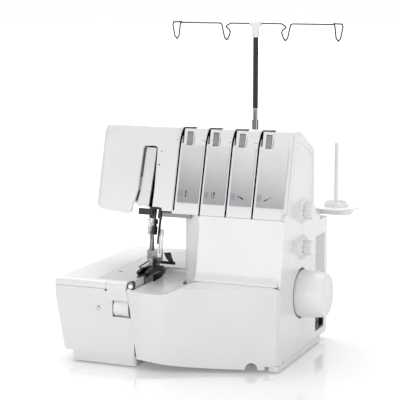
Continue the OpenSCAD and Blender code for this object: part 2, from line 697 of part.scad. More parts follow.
// Cast frame that holds the shafts, the needle bar and the presser bar
module frame_casting() color("silver") place() difference() {
    union() {
        box(-240, -15, 66, 108, pan_z + 5, pan_z + 13);
        box(-120, -15, 66, 164, pan_z + 5, pan_z + 13);
        box(-226, -145, 26, 67, pan_z + 5, pan_z + 11);
        for (x = [bearing_x[0], bearing_x[1]]) box(x, x + wall_t, 68, 110, pan_z + 12, 246);
        box(bearing_x[2], bearing_x[2] + wall_t, 66, 106, pan_z + 12, plate_seat - 4);
        box(bearing_x[2], bearing_x[1] + 1, 66, 72, pan_z + 12, plate_seat - 9);
        box(-200, bearing_x[0] + 1, 92, 110, 215, 245);
        box(-198, -158, 58, 93, 212, 228);
        on_needle() box(-6.4, 9, -4.5, 34, 108, 118);
        on_needle() box(-6.4, 9, 10, 34, 90, 118);
        on_needle() box(-6.4, 9, -4.5, 12, 90, 97);
        box(bar_x - 4.5, bar_x + 6, bar_y - 5, bar_y + 2, 206, 224);
        rod_x(-206, -197, lever_y, lever_z, 8);
        rod_x(lifter_x - 4, -178, 100, 198, 6);
        box(-182.5, -178, 92, 104, 195, 216);
        for (x = [-96, -60]) box(x, x + 8, 68, 93, 224, 236);
        box(-184, -172, 30.3, 40, pan_z + 10, 60);
        box(-162, -154, 40, 67, 70, 82);
    }
    for (x = bearing_x) rod_x(x - 1, x + wall_t + 1, shaft_y, shaft_z, bush_d);
    on_needle() rod_z(80, 130, 0, 0, needle_bar_d + 2 * run);
    rod_z(200, 240, bar_x, bar_y, presser_bar_d + 2 * run);
    rod_y(60, 80, upper_pivot[0], upper_pivot[1], 8 + 2 * run);
    rod_y(60, 80, lower_pivot[0], lower_pivot[1], 8 + 2 * run);
}
bar_x = -presser_x;
bar_y = presser_y;
lever_y = 70;  // pivot of the take-up lever
lever_z = 220;
upper_pivot = [-158, 56];
lower_pivot = [-210, 48];

module shaft_bushes() color("goldenrod") place() for (x = bearing_x) difference() {
    rod_x(x, x + wall_t, shaft_y, shaft_z, bush_d);
    rod_x(x - 1, x + wall_t + 1, shaft_y, shaft_z, shaft_d + 2 * run);
}

module main_shaft() color("silver") place() {
    rod_x(bearing_x[2] - 4, 16, shaft_y, shaft_z, shaft_d);
    difference() {
        rod_x(-13, -5, shaft_y, shaft_z, 2 * pulley_r);
        for (a = [0 : 60 : 300]) translate([0, shaft_y, shaft_z]) rotate([a, 0, 0]) rod_x(-14, -4, pulley_r * 0.6, 0, 12);
    }
    for (x = [-200, -150]) rod_x(x, x + 10, shaft_y, shaft_z, 16);
}
pulley_r = 30;
motor_y = 146;
motor_z = 62;
motor_r = 8;

module hand_wheel() color("white") place() difference() {
    translate([0, shaft_y, shaft_z]) rotate([0, 90, 0]) rotate_extrude($fn = 96) polygon(concat(
        [[0, -1], [wheel_d / 2, -1]], bend([wheel_d / 2, wheel_w * 0.4], [wheel_d / 2 - 0.5, wheel_w * 0.75], [wheel_d / 2 - 2.5, wheel_w - 2], 6),
        bend([wheel_d / 2 - 2.5, wheel_w - 2], [wheel_d / 2 - 2.8, wheel_w], [wheel_d / 2 - 5, wheel_w], 4),
        [[wheel_d / 2 - 7, wheel_w - 1], [0, wheel_w - 0.6]]));
    rod_x(-2, 16, shaft_y, shaft_z, shaft_d);
}

module motor() color("dimgray") place() difference() {
    union() {
        rod_x(-100, -36, motor_y, motor_z, 66);
        rod_x(-36, -30, motor_y, motor_z, 30);
        box(-96, -40, motor_y - 22, motor_y + 18, pan_z + 13, motor_z - 20);
    }
    rod_x(-60, 0, motor_y, motor_z, 6 + 2 * run);
    for (a = [0 : 45 : 315]) translate([0, motor_y, motor_z]) rotate([a, 0, 0]) box(-101, -95, 18, 27, -2, 2);
}

module motor_pulley() color("silver") place() {
    rod_x(-59, -5, motor_y, motor_z, 6);
    rod_x(-13, -5, motor_y, motor_z, 2 * motor_r);
}

// Belt around two pulleys, as the outline between their common tangents
module belt_outline(t) {
    span = norm([motor_y - shaft_y, motor_z - shaft_z]);
    a = atan2(motor_z - shaft_z, motor_y - shaft_y);
    b = acos((pulley_r - motor_r) / span);
    r1 = pulley_r + t;
    r2 = motor_r + t;
    translate([shaft_y, shaft_z]) rotate(a) polygon(concat(
        [for (k = [0 : 30]) let (u = b + (360 - 2 * b) * k / 30) r1 * [cos(u), sin(u)]],
        [for (k = [0 : 15]) let (u = -b + 2 * b * k / 15) [span, 0] + r2 * [cos(u), sin(u)]]));
}

module drive_belt() color("black") place() along_x(-12.5, -5.5) difference() {
    belt_outline(2);
    belt_outline(0.15);
}

// ---- needle, foot, loopers and knives --------------------------------------------------------------

module needle_bar() color("silver") place() on_needle() rod_z(56, 172, 0, 0, needle_bar_d);

module needle_clamp() color("silver") place() on_needle() difference() {
    union() {
        along_z(50, 61) soften(1.5) polygon([[-5.5, -5], [5, -5], [5, 4.5], [-5.5, 4.5]]);
        along_z(60, 64.2) soften(1.5) polygon([[-3.6, -3], [3.6, -3], [3.6, 4], [-3.6, 4]]);
        along_z(64, 70) soften(1.5) polygon([[-4.8, -4.4], [4.8, -4.4], [4.8, 4.4], [-4.8, 4.4]]);
        rod_x(-8, 6.5, -3.6, 68, 1.6);
    }
    rod_z(56, 75, 0, 0, needle_bar_d);
    needle_at() rod_z(49, 54, 0, 0, 2);
    for (z = [53, 57.5]) rod_y(-6, -3, -1.4, z, 2.4);
}

// Where the two needles stand beside the needle bar's axis
module needle_at() for (x = [-needle_gap / 2, needle_gap / 2]) translate([x, -1, 0]) children();

module needles() color("silver") place() on_needle() needle_at() {
    rod_z(38, 54, 0, 0, 2);
    rod_z(16, 38.5, 0, 0, 1.2);
    translate([0, 0, 14]) cylinder(d1 = 0.3, d2 = 1.2, h = 2);
}

module needle_guard() color("silver") place() in_head() difference() {
    along_y(28, 29.2) soften(0.8) polygon([[-177.3, -55], [-171.8, -55], [-171.8, -20], [-173.5, -18.5], [-177.3, -18.5]]);
    box(-175.2, -173.8, 27, 30, -50, -26);
}

// Bracket under the head that guides the threads and carries the needle guard
module head_thread_guide() color("black") place() in_head() {
    box(-200.5, -182, 7, 10.5, -3, 5);
    box(-183.6, -180, 4, 10.5, -7, 6.5);
    box(-171.6, -168, 4, 10.5, -7, 6.5);
    box(-183.6, -157, 3.3, 8, 4.6, 6.8);
    box(-171.6, -168, 8, 30, 3, 6.5);
    box(-179.6, -168, 27.4, 30, 0, 3.5);
    box(-179.6, -177.3, 27.4, 30, -38, 2);
}

module work_light() color("dimgray") place() along_z(head_seam - 5.5, head_seam) soften(1.5) polygon([
    [-166, 25], [column_front_x - 11, 25], [-column_w - 1, 38], [-column_w - 1, 58], [-166, 58]]);

module take_up_lever() color("white") place() difference() {
    union() {
        in_head() along_y(6, 9) soften(1.5) polygon([[-204, 7], [-187, 7], [-184.6, 58], [-184, 83.5],
            [-198, 83.5], [-199.4, 40], [-201, 24]]);
        along_x(-205, -200) polygon([[head_y(214) + 8.3, 212], [head_y(228) + 8.3, 228], [lever_y + 2, lever_z + 7],
            [lever_y + 2, lever_z - 7]]);
        rod_x(-205, -200, lever_y, lever_z, 16);
    }
    rod_x(-210, -190, lever_y, lever_z, 8 + 2 * run);
}

module presser_bar() color("silver") place() {
    rod_z(126, 226, bar_x, bar_y, presser_bar_d);
}

module presser_foot() color("black") place() {
    difference() {
        along_z(118, 131) soften(2) polygon([[bar_x - 5, bar_y - 6], [-needle_x + 4.5, bar_y - 8],
            [-needle_x + 4.5, bar_y + 3], [bar_x + 5, bar_y + 5.5], [bar_x - 5, bar_y + 5.5]]);
        rod_z(126, 140, bar_x, bar_y, presser_bar_d);
    }
    box(-needle_x - 4.5, -needle_x + 3.5, needle_y + 12, bar_y - 5, bed_z + 4, 124);
    difference() {
        translate([0, needle_y, bed_z]) along_x(-needle_x - foot_w / 2, -needle_x + foot_w / 2) polygon([[-18, 3], [-15, 0.3],
            [32, 0.3], [32, 4.5], [14, 8], [-4, 7.5], [-18, 4.8]]);
        box(-needle_x - 4, -needle_x + 3.5, needle_y - 20, needle_y + 8, 0, far);
    }
    box(bar_x + 3, -159.5, bar_y - 7.5, bar_y - 5.5, 114.8, 118.5);
    along_y(bar_y - 7.5, bar_y - 5.9) polygon([[-160.5, 116], [-165.5, 116], [-172.2, 123], [-175, 129.5], [-165.5, 130.5],
        [-164, 123.5]]);
    finger_guard();
}

// Thin wire in front of the foot that keeps the fingers off the needles
module finger_guard() {
    wire([-needle_x - 4, needle_y + 14, 121], [-needle_x - 11, needle_y - 3, 115]);
    wire([-needle_x - 11, needle_y - 3, 115], [-needle_x - 7, needle_y - 6, bed_z + 6.8]);
}

module presser_lifter() color("gray") place() difference() {
    union() {
        rod_x(lifter_x - 2, lifter_x + 10, 100, 198, 13);
        along_x(lifter_x, lifter_x + 7) polygon([[97, 193], [138, 177.5], [141, 184], [103, 200]]);
        translate([lifter_x + 3.5, 140, 181]) sphere(d = 10);
    }
    rod_x(-210, -170, 100, 198, 6 + 2 * run);
}
lifter_x = -194;

module upper_looper() color("silver") place() {
    rod_y(looper_y, 72, upper_pivot[0], upper_pivot[1], 8);
    along_y(looper_y, looper_y + 5) soften(1.2) polygon(concat([[-154, 53], [-153, 62]], bend([-154, 76], [-156, 92], [-170, 92], 6),
        bend([-171, 89], [-163, 87], [-160, 76], 6), [[-162, 53]]));
}

module lower_looper() color("silver") place() {
    rod_y(looper_y, 72, lower_pivot[0], lower_pivot[1], 8);
    along_y(looper_y, looper_y + 5) soften(1.2) polygon(concat([[-206, 43], [-214, 46]], bend([-214, 70], [-212, 88], [-188, 90], 6),
        bend([-188, 87], [-204, 84], [-206, 68], 6)));
}
looper_y = needle_y - 18; // front of the loopers

module upper_knife() color("silver") place() {
    box(-184.8, -177.4, -37, -29, 94.5, bed_z - 0.5);
    box(-181.8, -177.4, -36, -30, 84, 98);
    box(-plate_right + 0.4, -plate_right + 2, -35, needle_y - 26, 92, bed_z + 1);
    box(-181.8, -177.4, -37, -31, 36, 85);
    box(-181.8, -177.4, -37, 30, 36, 43);
    rod_y(-39.6, -35, -180.4, bed_z - 4.5, 5.6);
}

module lower_knife() color("silver") place() {
    box(-plate_right + 2.1, -plate_right + 3.8, needle_y - 25.5, needle_y - 2, 60, bed_z - 0.3);
    box(-plate_right + 2.1, -165, needle_y - 22, 29.8, 56, 66);
    box(-171.6, -165, 26, 34, pan_z + 11, 66);
}

// ---- controls ------------------------------------------------------------------------------------

module tension_dial(i) color("gray") place() difference() {
    translate([dial_at(i), dial_y, dial_z]) rotate([0, 90, 0]) rotate_extrude($fn = 96) polygon([
        [2.6, -dial_w / 2], [dial_d / 2 - 0.8, -dial_w / 2], [dial_d / 2, -dial_w / 2 + 0.8],
        [dial_d / 2, dial_w / 2 - 0.8], [dial_d / 2 - 0.8, dial_w / 2], [2.6, dial_w / 2]]);
    translate([dial_at(i), dial_y, dial_z]) for (a = [0 : 12 : 348]) rotate([a, 0, 0])
        translate([0, dial_d / 2 + 0.3, 0]) rod_x(-dial_w, 1.2, 0, 0, 1.2);
}
module tension_dial_1() tension_dial(3);
module tension_dial_2() tension_dial(2);
module tension_dial_3() tension_dial(1);
module tension_dial_4() tension_dial(0);

module tension_dial_shaft() color("silver") place() rod_x(face_x + 1, -wall - 0.3, dial_y, dial_z, 5.1);

module tension_discs() color("silver") place() {
    for (i = [0 : 3]) translate([groove_at(i), 0, 0]) in_head() {
        rod_x(-1.8, -0.6, 16, 48, 20);
        rod_x(0.6, 1.8, 16, 48, 20);
        rod_x(-3.5, 9, 16, 48, 4);
        box(6, 8, 12, 30, 42, 54);
    }
    in_head() box(groove_at(3) - 2, groove_at(0) + 9, 29, 31, 38, 58);
}

module side_knob(z) {
    translate([0, knob_y, z]) rotate([0, 90, 0]) difference() {
        union() {
            translate([0, 0, 5.2]) cylinder(d1 = grip_d + 1.5, d2 = grip_d, h = knob_h - 5.2);
            translate([0, 0, -8]) cylinder(d = 6.8, h = 14);
        }
        for (a = [0 : 18 : 342]) rotate(a) translate([grip_d / 2 + 0.55, 0, 5]) cylinder(d = 2, h = knob_h);
    }
}
module stitch_length_knob() color("white") place() side_knob(length_knob_z);
module differential_feed_knob() color("white") place() side_knob(feed_knob_z);

// Fixed scale discs under the two knobs
module knob_scales() color("white") place() for (z = [length_knob_z, feed_knob_z]) translate([0, knob_y, z])
    rotate([0, 90, 0]) difference() {
        cylinder(d1 = scale_d, d2 = scale_d - 5, h = 4.8);
        translate([0, 0, -1]) cylinder(d = 7, h = 7);
    }

module power_inlet() color("black") place() inlet_place() difference() {
    box(-9, -0.4, 0.3, inlet_w - 0.3, 0.3, inlet_h - 0.3);
    box(-6, 1, 15, inlet_w - 3, 3, inlet_h - 3);
    box(-8, 1, 2, 12.5, 3, inlet_h - 3);
    switch_pivot() rod_z(1.5, inlet_h - 1.5, 0, 0, 2 + 2 * run);
}

// Where the rocker of the power switch turns
module switch_pivot() translate([-3, 7.25, 0]) children();
module power_switch() color("dimgray") place() inlet_place() {
    difference() {
        box(-6.5, 0.2, 2.4, 12.1, 3.4, inlet_h - 3.4);
        along_y(-1, 20) polygon([[-1.2, inlet_h / 2], [2, inlet_h], [2, inlet_h / 2]]);
    }
    switch_pivot() rod_z(2, inlet_h - 2, 0, 0, 2);
}

// ---- thread stand ----------------------------------------------------------------------------------

spool_x = [-pole_x - outer_pin, -pole_x - inner_pin, -pole_x + inner_pin, -pole_x + outer_pin];

module spool_tray() color("whitesmoke") place() difference() {
    union() {
        along_z(tray_z, disc_z) soften(12) polygon([[-pole_x - outer_pin - tray_over, block_y + 1],
            [-pole_x + outer_pin + tray_over, block_y + 1], [-pole_x + outer_pin + tray_over, 2 * stand_y - block_y - 1],
            [-pole_x - outer_pin - tray_over, 2 * stand_y - block_y - 1]]);
        for (x = [-36, -98]) rod_z(shelf_z, tray_z + 1, x, stand_y, 16);
    }
    for (x = spool_x) rod_z(tray_z + 2, far, x, stand_y, pin_d - 0.6);
    rod_z(tray_z + 2, far, -pole_x, stand_y, tube_d);
}

module spool_pins() color("gainsboro") place() for (x = spool_x) {
    rod_z(tray_z + 2, disc_z + 8, x, stand_y, pin_d - 0.6);
    rod_z(disc_z + 7.5, disc_z + 7.5 + pin_l - pin_d / 2, x, stand_y, pin_d);
    translate([x, stand_y, disc_z + 7.5 + pin_l - pin_d / 2]) sphere(d = pin_d);
}

module spool_discs() color("white") place() for (x = spool_x) translate([x, stand_y, disc_z]) difference() {
    union() {
        cylinder(d = disc_d, h = 1.6, $fn = 96);
        cylinder(d1 = 32, d2 = 31, h = 7.4, $fn = 96);
    }
    translate([0, 0, -1]) cylinder(d = pin_d - 0.4, h = 10);
    translate([0, 0, 3]) difference() {
        cylinder(d = 27, h = 10);
        translate([0, 0, -1]) cylinder(d = 10, h = 10);
    }
}

module pole_lower_tube() color("silver") place() difference() {
    rod_z(tray_z + 2, lower_top, -pole_x, stand_y, tube_d);
    rod_z(tray_z + 3, lower_top + 1, -pole_x, stand_y, tube_d - 2 + 2 * run);
}
lower_top = guide_z - 128;

module pole_middle_tube() color("silver") place() {
    rod_z(lower_top - 20, hub_z - 33, -pole_x, stand_y, tube_d - 3);
    rod_z(lower_top - 20, lower_top - 10, -pole_x, stand_y, tube_d - 2);
}

module pole_upper_tube() color("black") place() difference() {
    rod_z(lower_top + 16, hub_z, -pole_x, stand_y, tube_d - 2);
    rod_z(lower_top + 15, hub_z - 6, -pole_x, stand_y, tube_d - 3 + 2 * run);
}

module thread_guide_hub() color("white") place() translate([-pole_x, stand_y, 0]) difference() {
    union() {
        rod_z(hub_z - 2, guide_z - 3, 0, 0, 10);
        translate([0, 0, guide_z - 4]) rotate_extrude() polygon([[0, 0], [7.5, 0], [8.5, 1], [8.5, 5.5], [7, 7], [0, 7.6]]);
    }
    rod_z(hub_z - 3, guide_z - 7, 0, 0, tube_d - 2 + 2 * run);
    rod_x(-20, 20, 0, guide_z, wire_d);
}

// A straight piece of wire between two points with a round end
module wire(p, q) {
    d = q - p;
    translate(p) rotate([0, acos(d[2] / norm(d)), atan2(d[1], d[0])]) cylinder(d = wire_d, h = norm(d), $fn = 16);
    translate(q) sphere(d = wire_d + 0.1, $fn = 16);
}

// Half of the thread guide: a straight arm with an open eye in its middle and one at its end
arm_path = [[7, 0, 0], [36, 0, 0], [41, 0, -3], [42, 0.5, -5], [37, 1.5, -8.5], [35.5, 2, -11.5], [38, 2, -19],
    [41, 1, -22], [44.5, 0, -19], [47.5, 0, -6], [48.5, 0, -1.5], [51, 0, 0], [108, 0, 0], [109, 0, -2], [111, 0, -18],
    [114, 0, -21.5], [117, 0, -18], [120, 0, -3], [119, -0.5, 0.6], [108, -2.2, 1]];

module guide_arm() for (i = [0 : len(arm_path) - 2]) wire(arm_path[i], arm_path[i + 1]);

module thread_guide_wire() color("silver") place() translate([-pole_x, stand_y, guide_z]) {
    rod_x(-8, 8, 0, 0, wire_d);
    guide_arm();
    rotate([0, 0, 180]) guide_arm();
}

// ---- choice of sub-part ----------------------------------------------------------------------------

base_pan();
rubber_feet();
frame_casting();
rear_housing();
head_front_cover();
face_cover();
column_panel();
looper_cover();
cover_hinge_rod();
side_cover();
bed_cover();
cloth_plate();
cloth_plate_latch();
needle_plate();
needle_plate_screws();
silver_trim_plates();
thread_groove_liners();
tension_dial_1();
tension_dial_2();
tension_dial_3();
tension_dial_4();
tension_dial_shaft();
tension_discs();
indicator_lamps();
take_up_lever();
needle_bar();
needle_clamp();
needles();
needle_guard();
head_thread_guide();
work_light();
presser_bar();
presser_foot();
presser_lifter();
upper_looper();
lower_looper();
upper_knife();
lower_knife();
feed_dog();
cutting_width_dial();
stitch_length_knob();
differential_feed_knob();
knob_scales();
hand_wheel();
main_shaft();
shaft_bushes();
motor();
motor_pulley();
drive_belt();
power_inlet();
power_switch();
spool_tray();
spool_pins();
spool_discs();
pole_lower_tube();
pole_middle_tube();
pole_upper_tube();
thread_guide_hub();
thread_guide_wire();
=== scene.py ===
# Serger overlock machine: finishes, printed marks, painted shade, light and camera round the imported
# solids.
import math

import bpy
import numpy as np
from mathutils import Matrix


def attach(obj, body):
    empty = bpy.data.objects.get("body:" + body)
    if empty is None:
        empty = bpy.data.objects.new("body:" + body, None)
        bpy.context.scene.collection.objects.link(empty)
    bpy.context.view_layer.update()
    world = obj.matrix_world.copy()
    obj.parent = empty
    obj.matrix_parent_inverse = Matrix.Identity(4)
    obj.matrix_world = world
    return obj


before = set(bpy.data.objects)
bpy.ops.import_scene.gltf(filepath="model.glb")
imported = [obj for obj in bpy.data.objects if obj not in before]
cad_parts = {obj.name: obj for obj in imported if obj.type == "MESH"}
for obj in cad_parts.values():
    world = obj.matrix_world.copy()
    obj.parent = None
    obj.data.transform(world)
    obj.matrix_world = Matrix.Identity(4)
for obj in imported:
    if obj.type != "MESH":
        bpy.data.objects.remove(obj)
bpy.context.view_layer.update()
print("frame loaded:", len(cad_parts), "solids")

# millimetres below are in the machine's own axes: x from its right face, y from its base front and z from
# the table
machine = dict(origin=(118.0, -83.5, 0.0), headLean=15.5, headFootY=22.3, headFootZ=187.0, headTop=294.0)
machineOrigin = np.array(machine["origin"])
headLean = math.radians(machine["headLean"])


# machine millimetres to frame metres: (p + origin) / 1000
def toFrame(points):
    return (np.asarray(points, float) + machineOrigin) / 1000.0


# sRGB hex to linear: c / 12.92 below 0.04045, else ((c + 0.055) / 1.055) ^ 2.4
def toLinear(hexColour):
    parts = np.array([int(hexColour[place:place + 2], 16) for place in (1, 3, 5)]) / 255.0
    parts = np.where(parts < 0.04045, parts / 12.92, ((parts + 0.055) / 1.055) ** 2.4)
    return (*parts, 1.0)


# one node: settings fill its attributes or inputs, or a ramp's stops, and links join its inputs to sockets
def addNode(tree, kind, settings=None, links=None):
    node = tree.nodes.new(kind)
    for key, value in (settings or {}).items():
        if key == "stops":
            while len(node.color_ramp.elements) < len(value):
                node.color_ramp.elements.new(0.5)
            for element, (place, colour) in zip(node.color_ramp.elements, value):
                element.position = place
                element.color = toLinear(colour)
        elif isinstance(key, str) and hasattr(node, key):
            setattr(node, key, value)
        else:
            node.inputs[key].default_value = value
    for key, socket in (links or {}).items():
        tree.links.new(socket, node.inputs[key])
    return node


# noise runs from about low to high; the bump's height is in millimetres
patterns = dict(driftDetail=3.0, grainDetail=4.0, low=0.3, high=0.7, bumpMm=0.05)


# colour = a mix of two shades by noise of driftMm, roughness and bump = noise of grainMm; where there is a
# rise, the colour is multiplied by a ramp over a x + b y + c z, which is in machine millimetres
def makeFinish(name, spec):
    material = bpy.data.materials.new(name)
    material.use_nodes = True
    tree = material.node_tree
    shader = tree.nodes["Principled BSDF"]
    where = addNode(tree, "ShaderNodeTexCoord").outputs["Object"]
    stretched = addNode(tree, "ShaderNodeMapping", {"Scale": spec.get("stretch", (1, 1, 1))},
                        {"Vector": where})
    drift = addNode(tree, "ShaderNodeTexNoise",
                    {"Scale": 1000.0 / spec["driftMm"], "Detail": patterns["driftDetail"]},
                    {"Vector": where})
    shades = [(patterns["low"], spec["colour"]), (patterns["high"], spec["shade"])]
    mixed = addNode(tree, "ShaderNodeValToRGB", {"stops": shades}, {"Fac": drift.outputs["Fac"]})
    colour = mixed.outputs["Color"]
    grain = addNode(tree, "ShaderNodeTexNoise",
                    {"Scale": 1000.0 / spec["grainMm"], "Detail": patterns["grainDetail"]},
                    {"Vector": stretched.outputs["Vector"]})
    rough = addNode(tree, "ShaderNodeMapRange",
                    {"From Min": patterns["low"], "From Max": patterns["high"],
                     "To Min": spec["rough"][0], "To Max": spec["rough"][1]},
                    {"Value": grain.outputs["Fac"]})
    bump = addNode(tree, "ShaderNodeBump",
                   {"Strength": spec["bump"], "Distance": patterns["bumpMm"] / 1000.0},
                   {"Height": grain.outputs["Fac"]})
    if "rise" in spec:
        way, start, end, stops = spec["rise"]
        shift = float(np.dot(way, machineOrigin))
        along = addNode(tree, "ShaderNodeVectorMath", {"operation": "DOT_PRODUCT", 1: way}, {0: where})
        place = addNode(tree, "ShaderNodeMapRange",
                        {"From Min": (start + shift) / 1000.0, "From Max": (end + shift) / 1000.0},
                        {"Value": along.outputs["Value"]})
        tint = addNode(tree, "ShaderNodeValToRGB", {"stops": stops}, {"Fac": place.outputs["Result"]})
        product = addNode(tree, "ShaderNodeMix", {"data_type": "RGBA", "blend_type": "MULTIPLY", 0: 1.0},
                          {6: colour, 7: tint.outputs["Color"]})
        colour = product.outputs[2]
    tree.links.new(colour, shader.inputs["Base Color"])
    tree.links.new(rough.outputs["Result"], shader.inputs["Roughness"])
    tree.links.new(bump.outputs["Normal"], shader.inputs["Normal"])
    for key, value in spec.get("sockets", {}).items():
        shader.inputs[key].default_value = value
    return material


# driftMm is the size of the cloudy change of colour and grainMm that of the surface's grain; most real
# grains here are finer than 0.1 mm and are drawn as coarse as they need to show
finishes = {
    # injection-moulded ABS with a fine polish: milky white, soft broad highlights
    "whiteAbs": dict(colour="#EEEEEE", shade="#E9E9E9", driftMm=60, grainMm=0.8, rough=(0.24, 0.32),
                     bump=0.05, sockets={"IOR": 1.53, "Coat Weight": 0.25, "Coat Roughness": 0.12}),
    # the same ABS moulded without a polish, on the base: white, a little duller
    "paleAbs": dict(colour="#F0F0F0", shade="#EAEAEA", driftMm=45, grainMm=0.9, rough=(0.34, 0.44),
                    bump=0.08, sockets={"IOR": 1.53}),
    # turned and polished acetal of wheel, knobs, pins and discs: pure white with a waxy sheen
    "whiteAcetal": dict(colour="#F8F8F8", shade="#F3F3F3", driftMm=30, grainMm=0.6, rough=(0.28, 0.36),
                        bump=0.06, sockets={"IOR": 1.48}),
    # moulded grey ABS of the tension dials: even mid-grey, slightly grained
    "greyAbs": dict(colour="#9B9B9B", shade="#8F8F8F", driftMm=12, grainMm=0.5, rough=(0.38, 0.5),
                    bump=0.15, sockets={"IOR": 1.53}),
    # moulded glass-filled nylon: deep black with a faint grey bloom
    "blackNylon": dict(colour="#17181A", shade="#202124", driftMm=15, grainMm=0.5, rough=(0.38, 0.55),
                       bump=0.15, sockets={"IOR": 1.52}),
    # silver lacquer sprayed on thin sheet: fine upright lines; painted reflection, darker to foot, lighter
    # to right
    "silverLacquerPaintedReflection": dict(colour="#FFFFFF", shade="#F6F6F6", driftMm=35, grainMm=0.5, rough=(0.42, 0.55),
                          bump=0.2, stretch=(1, 1, 0.04), sockets={"Metallic": 0.15, "IOR": 1.5},
                          rise=((0.18, 0.0, 1.0), 170.0, 270.0, [(0.0, "#989898"), (0.28, "#ABABAB"),
                                                                 (0.6, "#CECECE"), (0.95, "#E6E6E6")])),
    # ground and satin-polished steel of the needle plate: pale grey with fine lines across the machine
    "satinSteel": dict(colour="#CFCFCF", shade="#C2C2C2", driftMm=25, grainMm=0.4, rough=(0.25, 0.38),
                       bump=0.2, stretch=(1, 0.05, 1), sockets={"Metallic": 1.0}),
    # turned and polished steel of bars, screws, needles and loopers: clear mid-grey reflections
    "polishedSteel": dict(colour="#8C8C8C", shade="#767677", driftMm=10, grainMm=0.5, rough=(0.14, 0.24),
                          bump=0.08, sockets={"Metallic": 1.0}),
    # chrome plate on the pole's lower tubes: sharp light and dark stripes
    "chromePlate": dict(colour="#838384", shade="#6D6D6E", driftMm=12, grainMm=0.6, rough=(0.07, 0.14),
                        bump=0.03, sockets={"Metallic": 1.0}),
    # black oxide on pressed steel: dark, with a soft metallic gleam
    "blackOxide": dict(colour="#1E1E1F", shade="#2B2B2C", driftMm=8, grainMm=0.5, rough=(0.28, 0.42),
                       bump=0.12, sockets={"Metallic": 0.3, "Specular IOR Level": 0.4}),
    # stove enamel on the upper tube: deep glossy black with narrow highlights
    "blackEnamel": dict(colour="#0A0A0B", shade="#131314", driftMm=20, grainMm=0.6, rough=(0.2, 0.3),
                        bump=0.04, sockets={"Specular IOR Level": 0.3}),
    # nickel plate on pressed steel, the foot and the needle clamp: painted shade and reflection, dark at the
    # toe and on the right side, bright to the left and behind
    "nickelPaintedShade": dict(colour="#FFFFFF", shade="#EAEAEA", driftMm=7, grainMm=0.5, rough=(0.16, 0.3),
                       bump=0.1, sockets={"Metallic": 1.0},
                       rise=((-2.0, 1.0, 0.0), 402.0, 410.0, [(0.0, "#2A2A2C"), (1.0, "#98989A")])),
    # plated knife holder: bright clamping knob at the front, a black collar, then a pale satin arm
    "knifeHolder": dict(colour="#FFFFFF", shade="#F4F4F4", driftMm=6, grainMm=0.5, rough=(0.25, 0.4),
                        bump=0.1, sockets={"Metallic": 0.4},
                        rise=((0.0, 1.0, 0.0), -38.0, 2.0, [(0.0, "#E6E6E6"), (0.01, "#E6E6E6"),
                                                            (0.03, "#2A2A2B"), (0.17, "#2A2A2B"),
                                                            (0.21, "#D4D4D4")])),
    # blued spring-steel wire: dark grey with a fine gleam
    "bluedWire": dict(colour="#3A3A3C", shade="#2C2C2E", driftMm=15, grainMm=0.5, rough=(0.25, 0.4),
                      bump=0.05, sockets={"Metallic": 0.5, "Specular IOR Level": 0.4}),
    # matt black moulding in the thread grooves, which swallows the light; also painted shade on the grooves'
    # walls
    "mattBlackAndPaintedShade": dict(colour="#050505", shade="#090909", driftMm=10, grainMm=0.5, rough=(0.8, 0.95),
                      bump=0.1, sockets={"Specular IOR Level": 0.05}),
    # sand-cast aluminium of the hidden frame: pale grey, pebbled
    "castAluminium": dict(colour="#A6A8AB", shade="#94969A", driftMm=20, grainMm=1.5, rough=(0.45, 0.6),
                          bump=0.5, sockets={"Metallic": 1.0}),
    # sintered bronze of the shaft bushes: dull gold, speckled
    "sinteredBronze": dict(colour="#B08A4E", shade="#9C773E", driftMm=6, grainMm=0.6, rough=(0.35, 0.5),
                           bump=0.2, sockets={"Metallic": 1.0}),
    # moulded rubber of the feet and the belt: dull, nearly black
    "mouldedRubber": dict(colour="#1C1C1D", shade="#262627", driftMm=10, grainMm=0.8, rough=(0.7, 0.85),
                          bump=0.25, sockets={"IOR": 1.5}),
    # moulded ABS on the fine raised lines of the louvre: white, darker than the shell as painted shade of
    # the lines
    "paintedShadeAbs": dict(colour="#DFDFDF", shade="#D8D8D8", driftMm=20, grainMm=0.8, rough=(0.4, 0.5),
                     bump=0.08, sockets={"IOR": 1.53}),
    # pad-printed black ink: thin and a little glossier than the others; also painted shade at the recesses
    # and the wheel
    "blackInkAndPaintedShade": dict(colour="#2B2B2C", shade="#3A3A3B", driftMm=3, grainMm=0.3, rough=(0.45, 0.6), bump=0.1),
    # clear acrylic of the two small lamps: green below, amber above
    "lampAcrylic": dict(colour="#FFFFFF", shade="#F2F2F2", driftMm=2, grainMm=0.4, rough=(0.15, 0.25),
                        bump=0.03, sockets={"IOR": 1.49},
                        rise=((0.0, 0.0, 1.0), 253.0, 255.0, [(0.0, "#2F8F7C"), (0.9, "#EDB04F")])),
}
# pad-printed coloured inks: thin, matt, a little uneven where the plastic's grain shows through; grey is
# also painted shade on the recesses' borders
inks = dict(orangeInk=("#DF9D5C", "#D58F4E"), ochreInk=("#A39A74", "#8F875F"),
            greenInk=("#6FA396", "#5D9385"), blueInk=("#7796C8", "#6383B9"), redInk=("#A5625A", "#96534C"),
            greyInkAndPaintedShade=("#9C9C9A", "#8B8B8A"), paleInk=("#C2C3C5", "#B5B6B9"))
for inkName, (inkColour, inkShade) in inks.items():
    finishes[inkName] = dict(colour=inkColour, shade=inkShade, driftMm=3, grainMm=0.3, rough=(0.5, 0.65),
                             bump=0.1)
materials = {name: makeFinish(name, spec) for name, spec in finishes.items()}

